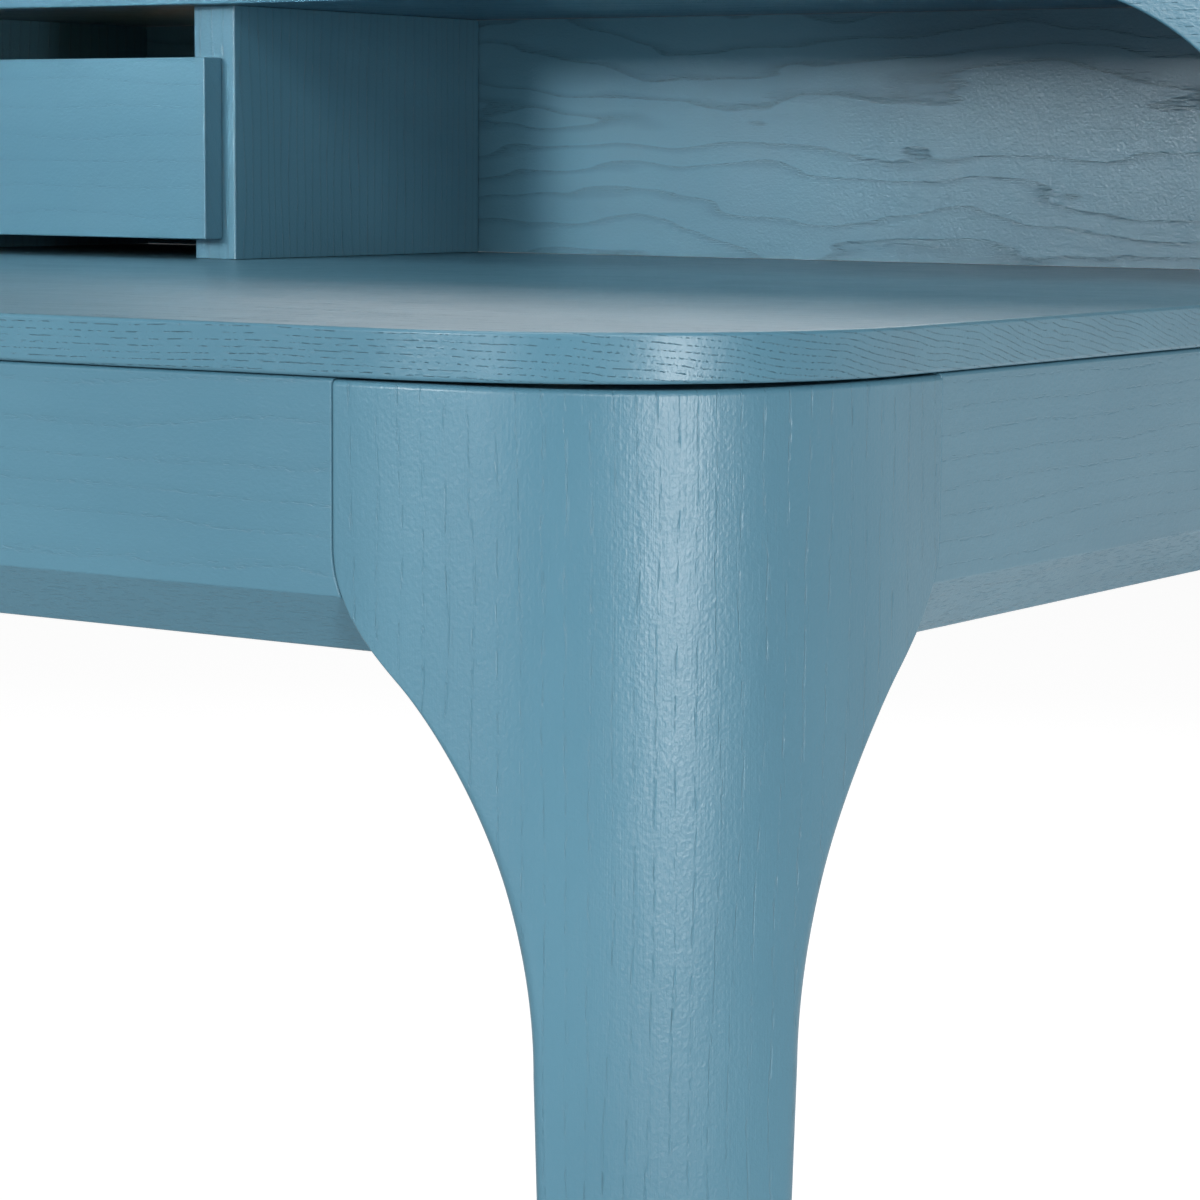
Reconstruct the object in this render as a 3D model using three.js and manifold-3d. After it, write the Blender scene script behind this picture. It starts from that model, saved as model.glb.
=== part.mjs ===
// Secretary desk in painted ash: four flared corner legs, bevelled aprons, a thin rounded
// worktop, and a low arched shelf unit at the back with one small drawer in its middle bay.
// Millimetres, +Z up. The origin is on the floor under the centre of the worktop, +X is the
// sitter's right and -Y is the front, where the sitter is.
import * as THREE from 'three';
import { mergeVertices } from 'three/addons/utils/BufferGeometryUtils.js';
import Module from 'manifold-3d';

const wasm = await Module();
wasm.setup();

// ---------------------------------------------------------------- driving dimensions
const WIDTH = 1400;
const DEPTH = 700;
const WORK_HEIGHT = 750;          // top surface of the worktop
const TOP_THICK = 15;
const FRONT_RADIUS = 115;         // plan radius of the worktop's front corners
const REAR_RADIUS = 18;
const GAP = 0.3;                  // between pieces that touch

const APRON_THICK = 22;
const APRON_SET = 1;              // how far the apron stands back from the worktop's edge
const APRON_FACE = 65;            // height of the upright face
const BEVEL_DEEP = 12.5;          // the downward bevel under that face
const BEVEL_HIGH = 17.7;
const COPE = 25;                  // room for the apron's end under the leg's shoulder

const LEG_SET = 0.2;
const WING_FRONT = 128.5;         // how far the leg's wing runs along the front
const WING_SIDE = 140;            // and along the side
const WING_THICK = 32;
const SHAFT_FRONT = 67;           // leg width where the wing has run out
const SHAFT_SIDE = 77;
const FOOT_FRONT = 53;
const FOOT_SIDE = 62;
const GLIDE_THICK = 3;
const GLIDE_RADIUS = 9;

const BAY_HEIGHT = 120;           // clear height under the shelf
const SHELF_THICK = 20;
const UNIT_INSET = 10;            // the shelf unit's ends stand in from the worktop's ends
const UNIT_FRONT = 129;           // Y of the shelf's front edge
const PARTITION_BACK_SET = 13;    // partitions stand back by the drawer front's thickness
const PARTITION_THICK = 25;
const PARTITION_OUTER = 126;      // X of a partition's outer face
const BACK_THICK = 10;

const FRONT_HALF = 118.4;         // half the drawer front's width
const FRONT_LOW = 9.7;            // its lower and upper edges above the worktop
const FRONT_HIGH = 95.4;
const BOX_LOW = 14;               // drawer box, above the worktop
const BOX_HIGH = 80;
const BOX_BOARD = 12;
const BOX_BOTTOM = 4;
const FLOOR_UP = 8;               // the floor's groove above the box's lower edge
const BOX_REAR = 322;             // Y of the drawer box's back
const SLIDE_ROOM = 13;            // room for a runner at each side of the box
const RUNNER_HIGH = 35;
const RUNNER_LONG = 176;
const RUNNER_DEEP = 10;           // the fixed channel, and the moving one inside it
const SLIDE_DEEP = 8.5;
const SLIDE_HIGH = 27.6;
const RUNNER_START = 4;           // behind the drawer front
const SHEET = 1.2;                // runner steel

const BLOCK_HIGH = 55;            // corner blocks
const BLOCK_NEAR = 174;
const BLOCK_THICK = 35;
const RAIL_HIGH = 50;
const RAIL_THICK = 20;
const RAIL_X = 300;
const BOLT_RADIUS = 4;
const NUT_RADIUS = 7.5;
const NUT_THICK = 5;
const SCREW_RADIUS = 2;
const DOWEL_RADIUS = 4;

const UNDERSIDE = WORK_HEIGHT - TOP_THICK;
const HALF_W = WIDTH / 2;
const HALF_D = DEPTH / 2;
const SHELF_LOW = WORK_HEIGHT + BAY_HEIGHT;
const SHELF_TOP = SHELF_LOW + SHELF_THICK;
const ARC_X = HALF_W - UNIT_INSET - SHELF_THICK - BAY_HEIGHT;   // where the end's curve starts
const PARTITION_INNER = PARTITION_OUTER - PARTITION_THICK;
const PARTITION_FRONT = UNIT_FRONT + PARTITION_BACK_SET;
const BACK_FACE = HALF_D - BACK_THICK;

// ---------------------------------------------------------------- materials
function paint(name, color, roughness, metalness = 0) {
  return new THREE.MeshStandardMaterial({ name, color, roughness, metalness });
}
const lacquer = paint('blue_lacquer', 0x5f8ea3, 0.45);
const rawWood = paint('raw_wood', 0xc9a87c, 0.7);
const plyWood = paint('drawer_board', 0xd8c3a0, 0.65);
const steel = paint('zinc_steel', 0xb4b8bb, 0.35, 1);
const plastic = paint('glide_plastic', 0x2b2d2f, 0.6);

// ---------------------------------------------------------------- solids
function toSolid(geometry) {
  const bare = geometry.index ? geometry.clone() : geometry;
  bare.deleteAttribute('normal');
  bare.deleteAttribute('uv');
  const merged = mergeVertices(bare, 1e-4);
  return new wasm.Manifold(new wasm.Mesh({
    numProp: 3,
    vertProperties: new Float32Array(merged.attributes.position.array),
    triVerts: new Uint32Array(merged.index.array),
  }));
}

function toGeometry(solid) {
  const mesh = solid.getMesh();
  const geometry = new THREE.BufferGeometry();
  geometry.setAttribute('position', new THREE.BufferAttribute(mesh.vertProperties, 3));
  geometry.setIndex(new THREE.BufferAttribute(mesh.triVerts, 1));
  return geometry;
}

function cut(geometry, ...tools) {
  return toGeometry(tools.reduce((solid, tool) => solid.subtract(toSolid(tool)), toSolid(geometry)));
}

function common(geometry, ...others) {
  return toGeometry(others.reduce((solid, other) => solid.intersect(toSolid(other)), toSolid(geometry)));
}

// A shape extruded from `from` to `to` along an axis. Its own two coordinates become
// (Y, Z) for axis x, (X, Z) for axis y and (X, Y) for axis z.
function extruded(shape, axis, from, to, curveSegments = 12) {
  const geometry = new THREE.ExtrudeGeometry(shape, {
    depth: to - from, bevelEnabled: false, curveSegments,
  });
  geometry.translate(0, 0, from);
  if (axis === 'x') {
    geometry.applyMatrix4(new THREE.Matrix4().set(0, 0, 1, 0, 1, 0, 0, 0, 0, 1, 0, 0, 0, 0, 0, 1));
  } else if (axis === 'y') {
    geometry.applyMatrix4(new THREE.Matrix4().set(1, 0, 0, 0, 0, 0, -1, 0, 0, 1, 0, 0, 0, 0, 0, 1));
    geometry.translate(0, from + to, 0);
  }
  return geometry;
}

function board(xLow, xHigh, yLow, yHigh, zLow, zHigh) {
  const geometry = new THREE.BoxGeometry(xHigh - xLow, yHigh - yLow, zHigh - zLow);
  return geometry.translate((xLow + xHigh) / 2, (yLow + yHigh) / 2, (zLow + zHigh) / 2);
}

// A round bar between two points.
function bar(start, end, radius, sides = 16) {
  const a = new THREE.Vector3(...start);
  const b = new THREE.Vector3(...end);
  const way = b.clone().sub(a);
  const geometry = new THREE.CylinderGeometry(radius, radius, way.length(), sides);
  const turn = new THREE.Quaternion().setFromUnitVectors(
    new THREE.Vector3(0, 1, 0), way.clone().normalize());
  geometry.applyQuaternion(turn);
  const middle = a.add(b).multiplyScalar(0.5);
  return geometry.translate(middle.x, middle.y, middle.z);
}

// Scales by -1 where asked and turns the faces out again.
function mirrored(geometry, flipX, flipY) {
  const copy = geometry.clone();
  copy.scale(flipX ? -1 : 1, flipY ? -1 : 1, 1);
  if (flipX !== flipY) {
    const merged = copy.index ? copy : mergeVertices(copy);
    const index = merged.index.array;
    for (let i = 0; i < index.length; i += 3) {
      [index[i], index[i + 1]] = [index[i + 1], index[i]];
    }
    merged.deleteAttribute('normal');
    return merged;
  }
  return copy;
}

// Corner pieces are drawn with u running in from the side edge and v in from the front edge
// of a corner, then set at one of the four corners of the desk.
function atCorner(geometry, side, end) {
  return mirrored(geometry, side > 0, end > 0).translate(side * HALF_W, end * HALF_D, 0);
}

const desk = new THREE.Group();
function add(name, geometry, material) {
  const mesh = new THREE.Mesh(geometry, material);
  mesh.name = name;
  desk.add(mesh);
  return mesh;
}

const SIDES = [['left', -1], ['right', 1]];
const CORNERS = SIDES.flatMap(([sideName, side]) => [
  { name: `front_${sideName}`, side, end: -1, radius: FRONT_RADIUS + 4 },
  { name: `rear_${sideName}`, side, end: 1, radius: REAR_RADIUS },
]);

// ---------------------------------------------------------------- legs
// The leg's outline as seen square on to one face: a straight taper, a concave sweep out
// under the wing, a rounded shoulder and the wing's upright end.
function legOutline(wing, shaft, foot) {
  const outside = -10;
  const taperTop = UNDERSIDE - 205;
  const swing = UNDERSIDE - 91;
  const shoulder = UNDERSIDE - 50;
  const swingOut = shaft + (wing - shaft) * 0.6;
  const outline = new THREE.Shape();
  outline.moveTo(outside, GLIDE_THICK);
  outline.lineTo(foot, GLIDE_THICK);
  outline.lineTo(shaft, taperTop);
  outline.bezierCurveTo(shaft, taperTop + 45, swingOut - 22, swing - 24, swingOut, swing);
  outline.bezierCurveTo(swingOut + 12, swing + 12, wing, shoulder - 18, wing, shoulder);
  outline.lineTo(wing, UNDERSIDE - GAP);
  outline.lineTo(outside, UNDERSIDE - GAP);
  outline.closePath();
  return outline;
}

// Plan of the leg: the rounded outer corner, two wings and the solid block between them.
function legPlan(radius) {
  const fillet = 10;
  const chamfer = 14;
  const blockU = SHAFT_FRONT + 1;
  const blockV = SHAFT_SIDE + 1;
  const centre = LEG_SET + radius;
  const plan = new THREE.Shape();
  plan.moveTo(WING_FRONT, LEG_SET);
  plan.lineTo(WING_FRONT, WING_THICK);
  plan.lineTo(blockU + fillet, WING_THICK);
  plan.absarc(blockU + fillet, WING_THICK + fillet, fillet, -Math.PI / 2, -Math.PI, true);
  plan.lineTo(blockU, blockV - chamfer);
  plan.lineTo(blockU - chamfer, blockV);
  plan.lineTo(WING_THICK + fillet, blockV);
  plan.absarc(WING_THICK + fillet, blockV + fillet, fillet, -Math.PI / 2, -Math.PI, true);
  plan.lineTo(WING_THICK, WING_SIDE);
  plan.lineTo(LEG_SET, WING_SIDE);
  plan.lineTo(LEG_SET, centre);
  plan.absarc(centre, centre, radius, Math.PI, Math.PI * 1.5, false);
  plan.closePath();
  return plan;
}

// The hanger bolt's line runs out of the leg's inner corner at 45 degrees.
const BOLT_Z = UNDERSIDE - 35;
const BOLT_SKEW = SHAFT_SIDE - SHAFT_FRONT;
function onBolt(u) {
  return [u, u + BOLT_SKEW, BOLT_Z];
}

function footCentre(radius) {
  return radius > WING_THICK ? [40, 46] : [27, 31];
}

for (const { name, side, end, radius } of CORNERS) {
  const frontView = extruded(legOutline(WING_FRONT, SHAFT_FRONT, FOOT_FRONT), 'y', -20, 160, 8);
  const sideView = extruded(legOutline(WING_SIDE, SHAFT_SIDE, FOOT_SIDE), 'x', -20, 160, 8);
  const plan = extruded(legPlan(radius), 'z', 0, UNDERSIDE, radius > WING_THICK ? 12 : 5);
  const [footU, footV] = footCentre(radius);
  const leg = cut(
    common(plan, frontView, sideView),
    bar(onBolt(48), onBolt(90), BOLT_RADIUS + GAP, 12),
    bar([footU, footV, -1], [footU, footV, 24], SCREW_RADIUS + GAP, 10),
  );
  add(`${name}_leg`, atCorner(leg, side, end), lacquer);

  const glideProfile = [
    [0, 0], [GLIDE_RADIUS - 1, 0], [GLIDE_RADIUS, 1], [GLIDE_RADIUS, GLIDE_THICK - GAP],
    [SCREW_RADIUS, GLIDE_THICK - GAP], [SCREW_RADIUS, 20], [0, 22],
  ].map(([r, z]) => new THREE.Vector2(r, z));
  const glide = new THREE.LatheGeometry(glideProfile, 16).rotateX(Math.PI / 2);
  glide.translate(side * (HALF_W - footU), end * (HALF_D - footV), 0);
  add(`${name}_glide`, glide, plastic);
}

// ---------------------------------------------------------------- aprons and rails
// Section of an apron: `out` is the distance in from the worktop's edge.
function apronSection(sign, edge) {
  const top = UNDERSIDE - GAP;
  const arris = UNDERSIDE - APRON_FACE;
  const low = arris - BEVEL_HIGH;
  const at = (inset, z) => [sign * (edge - inset), z];
  const section = new THREE.Shape();
  section.moveTo(...at(APRON_SET, top));
  section.lineTo(...at(APRON_SET, arris));
  section.lineTo(...at(APRON_SET + BEVEL_DEEP, low));
  section.lineTo(...at(APRON_SET + APRON_THICK, low));
  section.lineTo(...at(APRON_SET + APRON_THICK, top));
  section.closePath();
  return section;
}

// An apron's ends follow the legs' shoulders, so that its bevel runs on to meet them.
const LONG_REACH = HALF_W - WING_FRONT + COPE;
const SHORT_REACH = HALF_D - WING_SIDE + COPE;
const frontCope = extruded(
  legOutline(WING_FRONT + GAP, SHAFT_FRONT + GAP, FOOT_FRONT + GAP), 'y', -20, 60, 8);
const sideCope = extruded(
  legOutline(WING_SIDE + GAP, SHAFT_SIDE + GAP, FOOT_SIDE + GAP), 'x', -20, 60, 8);
for (const [endName, end] of [['front', -1], ['rear', 1]]) {
  const apron = extruded(apronSection(end, HALF_D), 'x', -LONG_REACH, LONG_REACH);
  const coped = cut(apron, ...SIDES.map(([, side]) => atCorner(frontCope, side, end)));
  add(`${endName}_apron`, coped, lacquer);
}
for (const [sideName, side] of SIDES) {
  const apron = extruded(apronSection(side, HALF_W), 'y', -SHORT_REACH, SHORT_REACH);
  const coped = cut(apron, ...[-1, 1].map((end) => atCorner(sideCope, side, end)));
  add(`${sideName}_apron`, coped, lacquer);

  const reach = HALF_D - APRON_SET - APRON_THICK - GAP;
  const x = side * RAIL_X;
  const rail = board(x - RAIL_THICK / 2, x + RAIL_THICK / 2, -reach, reach,
    UNDERSIDE - RAIL_HIGH, UNDERSIDE - GAP);
  add(`${sideName}_cross_rail`, rail, rawWood);
}

// ---------------------------------------------------------------- corner blocks and bolts
for (const { name, side, end } of CORNERS) {
  const wall = APRON_SET + APRON_THICK + GAP;
  const near = BLOCK_NEAR;        // u + v on the block's two long faces
  const far = BLOCK_NEAR + BLOCK_THICK;
  const block = new THREE.Shape();
  block.moveTo(near - wall, wall);
  block.lineTo(far - wall, wall);
  block.lineTo(wall, far - wall);
  block.lineTo(wall, near - wall);
  block.closePath();
  const solid = extruded(block, 'z', UNDERSIDE - GAP - BLOCK_HIGH, UNDERSIDE - GAP);
  const bored = cut(solid, bar(onBolt(70), onBolt(120), BOLT_RADIUS + GAP, 12));
  add(`${name}_corner_block`, atCorner(bored, side, end), rawWood);

  add(`${name}_leg_bolt`, atCorner(bar(onBolt(50), onBolt(110), BOLT_RADIUS, 12), side, end), steel);

  const nutAt = (far - BOLT_SKEW) / 2 + GAP;
  const nut = cut(
    bar(onBolt(nutAt), onBolt(nutAt + NUT_THICK), NUT_RADIUS, 6),
    bar(onBolt(nutAt - 3), onBolt(nutAt + 9), BOLT_RADIUS + GAP, 12),
  );
  add(`${name}_leg_nut`, atCorner(nut, side, end), steel);
}

// ---------------------------------------------------------------- worktop
function worktopOutline() {
  const frontX = HALF_W - FRONT_RADIUS;
  const frontY = -HALF_D + FRONT_RADIUS;
  const rearX = HALF_W - REAR_RADIUS;
  const rearY = HALF_D - REAR_RADIUS;
  const outline = new THREE.Shape();
  outline.moveTo(-frontX, -HALF_D);
  outline.lineTo(frontX, -HALF_D);
  outline.absarc(frontX, frontY, FRONT_RADIUS, -Math.PI / 2, 0, false);
  outline.lineTo(HALF_W, rearY);
  outline.absarc(rearX, rearY, REAR_RADIUS, 0, Math.PI / 2, false);
  outline.lineTo(-rearX, HALF_D);
  outline.absarc(-rearX, rearY, REAR_RADIUS, Math.PI / 2, Math.PI, false);
  outline.lineTo(-HALF_W, frontY);
  outline.absarc(-frontX, frontY, FRONT_RADIUS, Math.PI, Math.PI * 1.5, false);
  return outline;
}

// Screws come up through the worktop into the partitions. The unit's curved ends stand over
// the side aprons, so dowels locate them on the worktop instead.
const FIXING_YS = [190, 300];
const SCREW_X = PARTITION_OUTER - PARTITION_THICK / 2;
const SCREW_LONG = 40;
const END_DOWEL_X = HALF_W - UNIT_INSET - SHELF_THICK / 2;
function endDowel(side, y, grow) {
  const x = side * END_DOWEL_X;
  return bar([x, y, WORK_HEIGHT - 10 - grow * 2], [x, y, WORK_HEIGHT + 25 + grow * 2],
    DOWEL_RADIUS + grow, 12);
}

const outline = worktopOutline();
for (const [, side] of SIDES) {
  for (const y of FIXING_YS) {
    outline.holes.push(
      new THREE.Path().absarc(side * SCREW_X, y, SCREW_RADIUS + GAP, 0, Math.PI * 2, true));
  }
}
const endBores = SIDES.flatMap(([, side]) => FIXING_YS.map((y) => endDowel(side, y, GAP)));
add('worktop', cut(extruded(outline, 'z', UNDERSIDE, WORK_HEIGHT, 10), ...endBores), lacquer);

for (const [sideName, side] of SIDES) {
  FIXING_YS.forEach((y, i) => {
    const headTop = UNDERSIDE - GAP;
    const profile = [
      [0, headTop - 2.5], [3.5, headTop - 2.5], [4, headTop - 1.5], [4, headTop],
      [SCREW_RADIUS, headTop], [SCREW_RADIUS, headTop + SCREW_LONG - 6], [0, headTop + SCREW_LONG],
    ].map(([r, z]) => new THREE.Vector2(r, z));
    const screw = new THREE.LatheGeometry(profile, 10).rotateX(Math.PI / 2);
    add(`${sideName}_partition_screw_${i + 1}`, screw.translate(side * SCREW_X, y, 0), steel);
    add(`${sideName}_end_dowel_${i + 1}`, endDowel(side, y, 0), rawWood);
  });
}

// ---------------------------------------------------------------- shelf unit
const DOWEL_YS = [UNIT_FRONT + 50, HALF_D - 60];
const DOWEL_HALF = 18;
const DOWEL_Z = SHELF_LOW + SHELF_THICK / 2;
function dowel(side, y, grow) {
  const half = DOWEL_HALF + grow * 2;
  return bar([side * ARC_X - half, y, DOWEL_Z], [side * ARC_X + half, y, DOWEL_Z],
    DOWEL_RADIUS + grow, 12);
}

const shelfEnd = ARC_X - GAP / 2;
const shelf = board(-shelfEnd, shelfEnd, UNIT_FRONT, HALF_D, SHELF_LOW, SHELF_TOP);
const shelfBores = SIDES.flatMap(([, side]) => DOWEL_YS.map((y) => dowel(side, y, GAP)));
add('shelf', cut(shelf, ...shelfBores), lacquer);

for (const [sideName, side] of SIDES) {
  // Curved end: a quarter ring from the shelf down to the worktop.
  const startX = ARC_X + GAP / 2;
  const foot = WORK_HEIGHT + GAP;
  const inner = SHELF_LOW - foot;
  const outer = SHELF_TOP - foot;
  const ring = new THREE.Shape();
  ring.moveTo(startX + outer, foot);
  ring.absarc(startX, foot, outer, 0, Math.PI / 2, false);
  ring.lineTo(startX, SHELF_LOW);
  ring.absarc(startX, foot, inner, Math.PI / 2, 0, true);
  ring.closePath();
  const ringBody = mirrored(toGeometry(toSolid(extruded(ring, 'y', UNIT_FRONT, HALF_D, 16))),
    side < 0, false);
  const ringBores = DOWEL_YS.map((y) => dowel(side, y, GAP));
  const footBores = FIXING_YS.map((y) => endDowel(side, y, GAP));
  add(`${sideName}_curved_end`, cut(ringBody, ...ringBores, ...footBores), lacquer);
  DOWEL_YS.forEach((y, i) => {
    add(`${sideName}_shelf_dowel_${i + 1}`, dowel(side, y, 0), rawWood);
  });

  const low = Math.min(side * PARTITION_INNER, side * PARTITION_OUTER);
  const partition = board(low, low + PARTITION_THICK, PARTITION_FRONT, BACK_FACE - GAP,
    WORK_HEIGHT + GAP, SHELF_LOW - GAP);
  const screwBores = FIXING_YS.map((y) => bar([side * SCREW_X, y, WORK_HEIGHT - 5],
    [side * SCREW_X, y, UNDERSIDE + SCREW_LONG + 2], SCREW_RADIUS + GAP, 10));
  add(`${sideName}_partition`, cut(partition, ...screwBores), lacquer);
}

// Back panel: fills the arch behind the bays.
function archOutline() {
  const radius = BAY_HEIGHT - 2 * GAP;
  const low = WORK_HEIGHT + GAP;
  const arch = new THREE.Shape();
  arch.moveTo(-ARC_X - radius, low);
  arch.lineTo(ARC_X + radius, low);
  arch.absarc(ARC_X, low, radius, 0, Math.PI / 2, false);
  arch.lineTo(-ARC_X, low + radius);
  arch.absarc(-ARC_X, low, radius, Math.PI / 2, Math.PI, false);
  return arch;
}
add('back_panel', extruded(archOutline(), 'y', BACK_FACE, HALF_D, 14), lacquer);

// ---------------------------------------------------------------- drawer
const BOX_HALF = PARTITION_INNER - SLIDE_ROOM;
const FRONT_BACK = PARTITION_FRONT - GAP;           // rear face of the overlay front
const BOX_FRONT = FRONT_BACK + GAP;
const FLOOR_LOW = WORK_HEIGHT + BOX_LOW + FLOOR_UP;
const GROOVE_DEEP = 6;
const RUNNER_MID = WORK_HEIGHT + (BOX_LOW + BOX_HIGH) / 2;
const FIXING_X = 45;

// Board of the drawer box with the groove that holds its floor, seen end on; `face` is the
// inner face's coordinate and `way` points from the board into the box.
function groovedSection(face, way) {
  const low = WORK_HEIGHT + BOX_LOW;
  const high = WORK_HEIGHT + BOX_HIGH;
  const section = new THREE.Shape();
  section.moveTo(face - way * BOX_BOARD, low);
  section.lineTo(face, low);
  section.lineTo(face, FLOOR_LOW - GAP);
  section.lineTo(face - way * GROOVE_DEEP, FLOOR_LOW - GAP);
  section.lineTo(face - way * GROOVE_DEEP, FLOOR_LOW + BOX_BOTTOM + GAP);
  section.lineTo(face, FLOOR_LOW + BOX_BOTTOM + GAP);
  section.lineTo(face, high);
  section.lineTo(face - way * BOX_BOARD, high);
  section.closePath();
  return section;
}

const fixingBores = [-1, 1].map((s) => bar([s * FIXING_X, UNIT_FRONT + 4, RUNNER_MID],
  [s * FIXING_X, BOX_FRONT + 20, RUNNER_MID], SCREW_RADIUS + GAP, 10));
const overlay = board(-FRONT_HALF, FRONT_HALF, UNIT_FRONT, FRONT_BACK,
  WORK_HEIGHT + FRONT_LOW, WORK_HEIGHT + FRONT_HIGH);
add('drawer_front', cut(overlay, ...fixingBores), lacquer);

const sideInner = BOX_HALF - BOX_BOARD;
const boxFront = extruded(groovedSection(BOX_FRONT + BOX_BOARD, 1), 'x',
  -sideInner + GAP, sideInner - GAP);
add('drawer_box_front', cut(boxFront, ...fixingBores), plyWood);
for (const [sideName, side] of SIDES) {
  const section = groovedSection(side * sideInner, -side);
  add(`drawer_${sideName}_side`, extruded(section, 'y', BOX_FRONT, BOX_REAR), plyWood);
}
add('drawer_back', board(-sideInner + GAP, sideInner - GAP, BOX_REAR - BOX_BOARD, BOX_REAR,
  FLOOR_LOW + BOX_BOTTOM + GAP, WORK_HEIGHT + BOX_HIGH), plyWood);
const floorHalf = sideInner + GROOVE_DEEP - GAP;
add('drawer_floor', board(-floorHalf, floorHalf, BOX_FRONT + BOX_BOARD - GROOVE_DEEP + GAP, BOX_REAR,
  FLOOR_LOW, FLOOR_LOW + BOX_BOTTOM), plyWood);
[-1, 1].forEach((s, i) => {
  const head = BOX_FRONT + BOX_BOARD + GAP;
  const profile = [
    [0, 0], [SCREW_RADIUS, 3], [SCREW_RADIUS, 20], [4, 20], [4, 21.5], [3, 22.5], [0, 22.5],
  ].map(([r, z]) => new THREE.Vector2(r, z));
  const screw = new THREE.LatheGeometry(profile, 10);
  add(`drawer_front_screw_${i + 1}`, screw.translate(s * FIXING_X, head - 20, RUNNER_MID), steel);
});

// ---------------------------------------------------------------- drawer runners
// A steel channel, seen end on, open towards `way`.
function channel(back, way, deep, high) {
  const low = RUNNER_MID - high / 2;
  const top = RUNNER_MID + high / 2;
  const section = new THREE.Shape();
  section.moveTo(back, low);
  section.lineTo(back + way * deep, low);
  section.lineTo(back + way * deep, low + SHEET);
  section.lineTo(back + way * SHEET, low + SHEET);
  section.lineTo(back + way * SHEET, top - SHEET);
  section.lineTo(back + way * deep, top - SHEET);
  section.lineTo(back + way * deep, top);
  section.lineTo(back, top);
  section.closePath();
  return section;
}

const railFront = BOX_FRONT + RUNNER_START;
const railRear = railFront + RUNNER_LONG;
for (const [sideName, side] of SIDES) {
  const fixed = channel(side * (PARTITION_INNER - GAP), -side, RUNNER_DEEP, RUNNER_HIGH);
  add(`${sideName}_runner_rail`, extruded(fixed, 'y', railFront, railRear), steel);
  const moving = channel(side * (BOX_HALF + GAP), side, SLIDE_DEEP, SLIDE_HIGH);
  add(`${sideName}_runner_slide`, extruded(moving, 'y', railFront - 2, railRear - 4), steel);
}

export default desk;
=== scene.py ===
"""Secretary desk in blue-lacquered ash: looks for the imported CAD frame."""
import math

import bmesh
import bpy
import numpy as np
from mathutils import Matrix, Vector


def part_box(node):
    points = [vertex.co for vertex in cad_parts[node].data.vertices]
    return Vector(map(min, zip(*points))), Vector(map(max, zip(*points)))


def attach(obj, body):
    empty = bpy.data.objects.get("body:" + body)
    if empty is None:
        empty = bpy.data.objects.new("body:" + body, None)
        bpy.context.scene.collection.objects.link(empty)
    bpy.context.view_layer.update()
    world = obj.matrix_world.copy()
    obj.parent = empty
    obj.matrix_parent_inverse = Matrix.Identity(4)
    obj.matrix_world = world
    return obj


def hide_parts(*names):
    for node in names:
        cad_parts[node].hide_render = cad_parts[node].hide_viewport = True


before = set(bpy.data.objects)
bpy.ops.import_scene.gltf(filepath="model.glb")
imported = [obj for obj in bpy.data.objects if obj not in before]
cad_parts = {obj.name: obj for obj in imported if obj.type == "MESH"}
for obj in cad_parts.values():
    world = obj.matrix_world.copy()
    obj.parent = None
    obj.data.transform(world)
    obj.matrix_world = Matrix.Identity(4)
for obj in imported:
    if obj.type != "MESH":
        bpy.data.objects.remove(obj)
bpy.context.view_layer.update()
scene = bpy.context.scene

MM = 0.001
SIDES = (("left", -1), ("right", 1))
CORNERS = [(end_name, end, side_name, side)
           for end_name, end in (("front", -1), ("rear", 1)) for side_name, side in SIDES]

# ------------------------------------------------------------------ sizes, in millimetres
TOP_LOW, TOP_HIGH = (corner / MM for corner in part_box("worktop"))
HALF_W = TOP_HIGH.x
HALF_D = TOP_HIGH.y
WORK_HEIGHT = TOP_HIGH.z
UNDERSIDE = TOP_LOW.z
FRONT_RADIUS = 115
REAR_RADIUS = 18
TOP_EASE = 1.3              # rounding of the worktop's arrises
EASE_STEPS = 4              # flats in each rounded arris of the top, shelf and aprons

LEG_SET = 0.2               # leg face behind the worktop's edge
LEG_BEND = 4                # a front leg's plan radius beyond the worktop's
GLIDE_THICK = 3
WING_THICK = 32
LEG_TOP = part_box("front_right_leg")[1].z / MM
SHADOW_GAP = 1.5            # how far the leg's top dips at the rounded corner
WING_DIP = 0.4              # and at the wings' ends
REAR_BEND = 0.3             # share of that dip at a rear leg, whose corner is tight
TAPER_TOP = UNDERSIDE - 205         # the straight taper ends and the sweep begins
SWING = UNDERSIDE - 91              # where the concave sweep turns convex
SHOULDER = UNDERSIDE - 50           # above it the wing's end is upright
CROWN_EASE = 2.0            # rounding of the leg's upper arris
FOOT_EASE = 1.2
WING_EASE = 1.2             # rounding of the wings' ends
SHAFT_EASE = 4.0            # and of the same edges down the shaft
FRONT_PROFILE = dict(wing=128.5, shaft=67, foot=53)
SIDE_PROFILE = dict(wing=140, shaft=77, foot=62)

APRON_FACE = 65             # height of an apron's upright face
BEVEL_DEEP = 12.5
APRON_EASE = 1.4
APRON_END_EASE = 0.8
LOFT_STEP = 2               # height of one slice through an apron's coped end
JOINT_GAP = 0.35            # between an apron's end and the leg

SHELF_LOW, SHELF_HIGH = (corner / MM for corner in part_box("shelf"))
SHELF_EASE = 1.2
PARTITION_EASE = 1.0


# ------------------------------------------------------------------ camera
CAMERA_PLACE = (1.2212, -1.1736, 0.7997)    # metres
CAMERA_TURNS = (33.913, 7.097, 0.381)       # yaw left of +Y, pitch down, roll; degrees
LENS = 106.7                                # focal length, and the sensor's width, in mm
SENSOR = 36


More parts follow.
